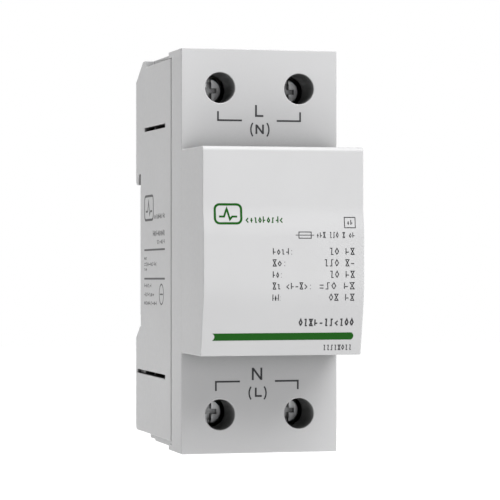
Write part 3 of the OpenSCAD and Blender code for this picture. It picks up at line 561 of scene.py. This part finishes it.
# The greeked table: label, its right end, value, its left end. Its places are in millimetres.
TABLE = (
    ("hozd:", 1.95, "ZO hX", 10.05),
    ("Xo:", 0.47, "ZSO X-", 8.86),
    ("ho:", -0.45, "ZO hX", 10.1),
    ("Xz <h-X>:", 6.12, "=SO hX", 7.7),
    ("hod:", -0.7, "OX hX", 9.95),
)
TABLE_LEFT = -2.69
TABLE_RIGHT = 15.67
TABLE_TOP_BASE = -0.8
TABLE_PITCH = 2.48
TABLE_CAP = 1.55


def draw_table(bm):
    """Five rows of greeked ratings, the fuse sign and the class mark."""
    for row, (label, label_end, value, value_start) in enumerate(TABLE):
        base = (TABLE_TOP_BASE - row * TABLE_PITCH) * MM
        add_line(bm, label, TABLE_LEFT * MM, label_end * MM, base, TABLE_CAP * MM, THIN, on_front)
        add_line(bm, value, value_start * MM, TABLE_RIGHT * MM, base, TABLE_CAP * MM, THIN, on_front)
    # the fuse sign's body, its two wires and its element, with a greeked rating beside it
    add_stroke(bm, rect(mm(3.18, 2.8), mm(5.91, 4.13)), 0.18 * MM, on_front, True)
    for a, b in ((2.45, 3.08), (3.3, 5.8), (6.02, 6.6)):
        add_stroke(bm, mm_points((a, 3.46), (b, 3.46)), 0.15 * MM, on_front)
    add_line(bm, "+hX ZSO X oh", 7.09 * MM, 15.71 * MM, 2.85 * MM, 1.3 * MM, 0.17 * MM, on_front)
    # the small framed class mark
    add_stroke(bm, rect(mm(13.46, 5.07), mm(15.88, 7.31)), 0.19 * MM, on_front, True)
    add_line(bm, "+h", 14.0 * MM, 15.35 * MM, 5.6 * MM, 1.25 * MM, 0.2 * MM, on_front)


def draw_rating(bm):
    """The bold greeked line over the stripe, and the small one under it."""
    add_line(bm, "OZXh-ZS<ZOO", 3.45 * MM, 15.85 * MM, -16.2 * MM, 1.65 * MM, 0.3 * MM, on_front)
    add_line(bm, "ZZSZXOZZ", 9.24 * MM, 15.7 * MM, -21.45 * MM, 1.2 * MM, 0.19 * MM, on_front)


def draw_emblem(bm):
    """A made-up mark: a pulse inside a round-cornered frame, and a greeked line beside it."""
    add_stroke(bm, round_rect(mm(-15.3, 5.95), mm(-9.5, 10.0), 1.0 * MM), 0.5 * MM, on_front, True)
    add_stroke(bm, mm_points((-14.4, 7.4), (-13.3, 7.4), (-12.7, 9.1), (-12.0, 6.8), (-11.5, 7.4),
                             (-10.4, 7.4)), 0.42 * MM, on_front)
    add_line(bm, "<+zohosd<", -8.6 * MM, -0.3 * MM, 6.0 * MM, 1.6 * MM, 0.25 * MM, on_front)


def draw_stripe(bm):
    """The stripe near the nose's lower edge, hollowed at its left end and round at its right end."""
    left, right, low, high = mm(-15.92, 15.96, -19.16, -17.6)
    half = (high - low) / 2
    middle = (high + low) / 2
    r = half * 1.08
    sweep = math.degrees(math.asin(half / r))
    hollow = arc((left, middle), r, sweep, -sweep, 10)
    nose = arc((right - r, middle), r, -sweep, sweep, 10)
    add_fill(bm, hollow + nose, on_front)


def draw_side_marks(bm):
    """Two rules and greeked blocks on the left side, read from the rail to the front."""
    for z in (0.15, -6.6):
        add_stroke(bm, mm_points((4.7, z), (27, z)), 0.44 * MM, on_left_side)
    frame_low, frame_high = mm(5.0, 7.2), mm(14.6, 12.8)
    add_stroke(bm, round_rect(frame_low, frame_high, 1.2 * MM), 0.55 * MM, on_left_side, True)
    add_stroke(bm, mm_points((6.4, 9.2), (8.4, 9.2), (9.4, 11.6), (10.6, 8.4), (11.4, 9.2), (13.2, 9.2)),
               0.45 * MM, on_left_side)
    # each greeked line's signs, both ends, base, height and weight, in millimetres
    for signs, start, end, base, height, weight in (
        ("<+zohosd<", 15.6, 27, 7.2, 1.4, 0.26),
        ("hozd-os<odz", 14.3, 26.8, 3.2, 1.6, 0.34),
        ("zz-osd", 18.6, 26.8, 1.4, 1.2, 0.24),
        ("os", 4.7, 7.4, -2.15, 0.8, 0.2),
        ("=zo-osd<", 4.7, 18.0, -3.7, 1.2, 0.22),
        ("zo", 4.7, 7.4, -4.75, 0.8, 0.2),
        ("hozd", 4.7, 12.4, -8.7, 1.1, 0.24),
        ("dshzo+", 4.7, 15.4, -10.8, 1.1, 0.24),
        ("ozohs-od", 4.7, 18.2, -12.8, 1.1, 0.26),
    ):
        add_line(bm, signs, start * MM, end * MM, base * MM, height * MM, weight * MM, on_left_side)
    ring = arc(mm(23.4, -10.2), 2.3 * MM, 0, 345, 24)
    add_stroke(bm, ring, 0.35 * MM, on_left_side, True)
    add_stroke(bm, mm_points((21.9, -10.2), (24.9, -10.2)), 0.35 * MM, on_left_side)


# ---- spring ----

SPRING_WIRE = 0.5 * MM
SPRING_TURNS = 7
STEPS_A_TURN = 28
WIRE_SIDES = 12


def add_tube(bm, route, radius):
    """Adds a round wire along a route, closed at both ends. Its section turns with the route."""
    rings = []
    up = None
    for i, p in enumerate(route):
        ahead = (route[min(i + 1, len(route) - 1)] - route[max(i - 1, 0)]).normalized()
        if up is None:
            up = ahead.orthogonal().normalized()
        up = (up - ahead * up.dot(ahead)).normalized()
        side = ahead.cross(up)
        rings.append([bm.verts.new(p + radius * (up * math.cos(a) + side * math.sin(a)))
                      for a in (2 * math.pi * k / WIRE_SIDES for k in range(WIRE_SIDES))])
    for a, b in zip(rings, rings[1:]):
        for k in range(WIRE_SIDES):
            j = (k + 1) % WIRE_SIDES
            bm.faces.new([a[k], a[j], b[j], b[k]])
    bm.faces.new(rings[0])
    bm.faces.new(rings[-1])


def add_spring():
    """The clip's spring: a smooth helix with closed end turns."""
    low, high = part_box("clip_spring")
    centre = (low + high) / 2
    radius = (high.x - low.x - SPRING_WIRE) / 2
    bottom, top = low.z + SPRING_WIRE / 2, high.z - SPRING_WIRE / 2
    rise = top - bottom - 2 * SPRING_WIRE
    route = []
    for i in range(SPRING_TURNS * STEPS_A_TURN + 1):
        turn = i / STEPS_A_TURN
        inner = min(max(turn - 1, 0), SPRING_TURNS - 2) / (SPRING_TURNS - 2)
        climb = SPRING_WIRE * (min(turn, 1) + max(turn - SPRING_TURNS + 1, 0)) + rise * inner
        a = 2 * math.pi * turn
        route.append(Vector((centre.x + radius * math.cos(a), centre.y + radius * math.sin(a),
                             bottom + climb)))
    bm = bmesh.new()
    add_tube(bm, route, SPRING_WIRE / 2)
    spring = finish_mesh(bm, "clip_spring_piece", "housing", "spring_steel")
    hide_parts("clip_spring")
    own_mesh(spring)


# ---- setting ----

# The floor lies clear below the object, so that it doesn't shade it, and glows white.
FLOOR_DROP = 60 * MM
FLOOR_SIZE = 2.0
FLOOR_GREY = 0.15
FLOOR_GLOW = 1
SURROUNDINGS = 0.15
LIGHT_AIM = Vector((0, -30 * MM, 0))
LIGHT_DISTANCE = 0.8
# Each light's turn round the object from the front towards its right and its height, both in degrees,
# then its width in metres and its power in watts.
LIGHTS = {
    "key": (30, 50, 0.7, 6.8),
    "front_top": (0, 60, 0.7, 0.9),
    "front_right": (15, 2, 0.3, 0.22),
    "top": (0, 90, 0.7, 3.0),
    "back": (180, 10, 0.7, 1.82),
}


def add_light(name, turn, height, width, power):
    """A broad soft disc light that faces the object."""
    data = bpy.data.lights.new(name, "AREA")
    data.shape = "DISK"
    data.size = width
    data.energy = power
    around, up = math.radians(turn), math.radians(height)
    away = Vector((math.sin(around) * math.cos(up), -math.cos(around) * math.cos(up), math.sin(up)))
    light = bpy.data.objects.new(name, data)
    light.location = LIGHT_AIM + away * LIGHT_DISTANCE
    light.rotation_euler = (-away).to_track_quat("-Z", "Y").to_euler()
    light.visible_camera = False
    bpy.context.scene.collection.objects.link(light)


def add_surroundings():
    """White surroundings that light the object only faintly, so that the lamps shape it."""
    world = bpy.data.worlds.new("studio")
    world.use_nodes = True
    tree = world.node_tree
    path = tree.nodes.new("ShaderNodeLightPath")
    level = tree.nodes.new("ShaderNodeMapRange")
    level.inputs["To Min"].default_value = SURROUNDINGS
    level.inputs["To Max"].default_value = 1
    tree.links.new(path.outputs["Is Camera Ray"], level.inputs["Value"])
    tree.links.new(level.outputs["Result"], tree.nodes["Background"].inputs["Strength"])
    tree.nodes["Background"].inputs["Color"].default_value = (1, 1, 1, 1)
    bpy.context.scene.world = world
    bpy.context.scene.view_settings.view_transform = "Standard"


def add_floor():
    """A pale lit table under the object."""
    bm = bmesh.new()
    bmesh.ops.create_grid(bm, x_segments=1, y_segments=1, size=FLOOR_SIZE)
    mesh = bpy.data.meshes.new("floor")
    bm.to_mesh(mesh)
    bm.free()
    floor = bpy.data.objects.new("floor", mesh)
    floor.location.z = cad_low.z - FLOOR_DROP
    pale = Nodes("pale_floor")
    pale.shader.inputs["Base Color"].default_value = (FLOOR_GREY, FLOOR_GREY, FLOOR_GREY, 1)
    pale.shader.inputs["Roughness"].default_value = 0.9
    pale.shader.inputs["Emission Color"].default_value = (1, 1, 1, 1)
    pale.shader.inputs["Emission Strength"].default_value = FLOOR_GLOW
    mesh.materials.append(pale.material)
    bpy.context.scene.collection.objects.link(floor)


# ---- the object ----

add_camera()
for node, obj in frame["nodes"].items():
    for index in range(len(obj.material_slots)):
        obj.material_slots[index].material = MATERIALS[slot_of_node[node]]

cover = softened("front_cover", SHELL_EDGE, 3)
softened("rear_housing", SHELL_EDGE, 3)
softened("din_clip", 0.2 * MM, 3)
for pole in ("line", "neutral"):
    for side in ("left", "right"):
        softened(f"{pole}_screw_{side}", 0.06 * MM)
        softened(f"{pole}_cage_{side}", 0.12 * MM)
    softened(f"{pole}_busbar", 0.15 * MM)
add_spring()

front_tree = surface_tree(cover)
printed("line_marks", "grey_print", draw_line_marks)
printed("neutral_marks", "grey_print", draw_neutral_marks)
printed("rating_table", "grey_print", draw_table)
printed("rating_line", "grey_print", draw_rating)
printed("emblem", "green_print", draw_emblem)
printed("stripe", "green_print", draw_stripe)
printed("side_marks", "grey_print", draw_side_marks, PALE_INK)
add_surroundings()
add_floor()
for light, numbers in LIGHTS.items():
    add_light(light, *numbers)
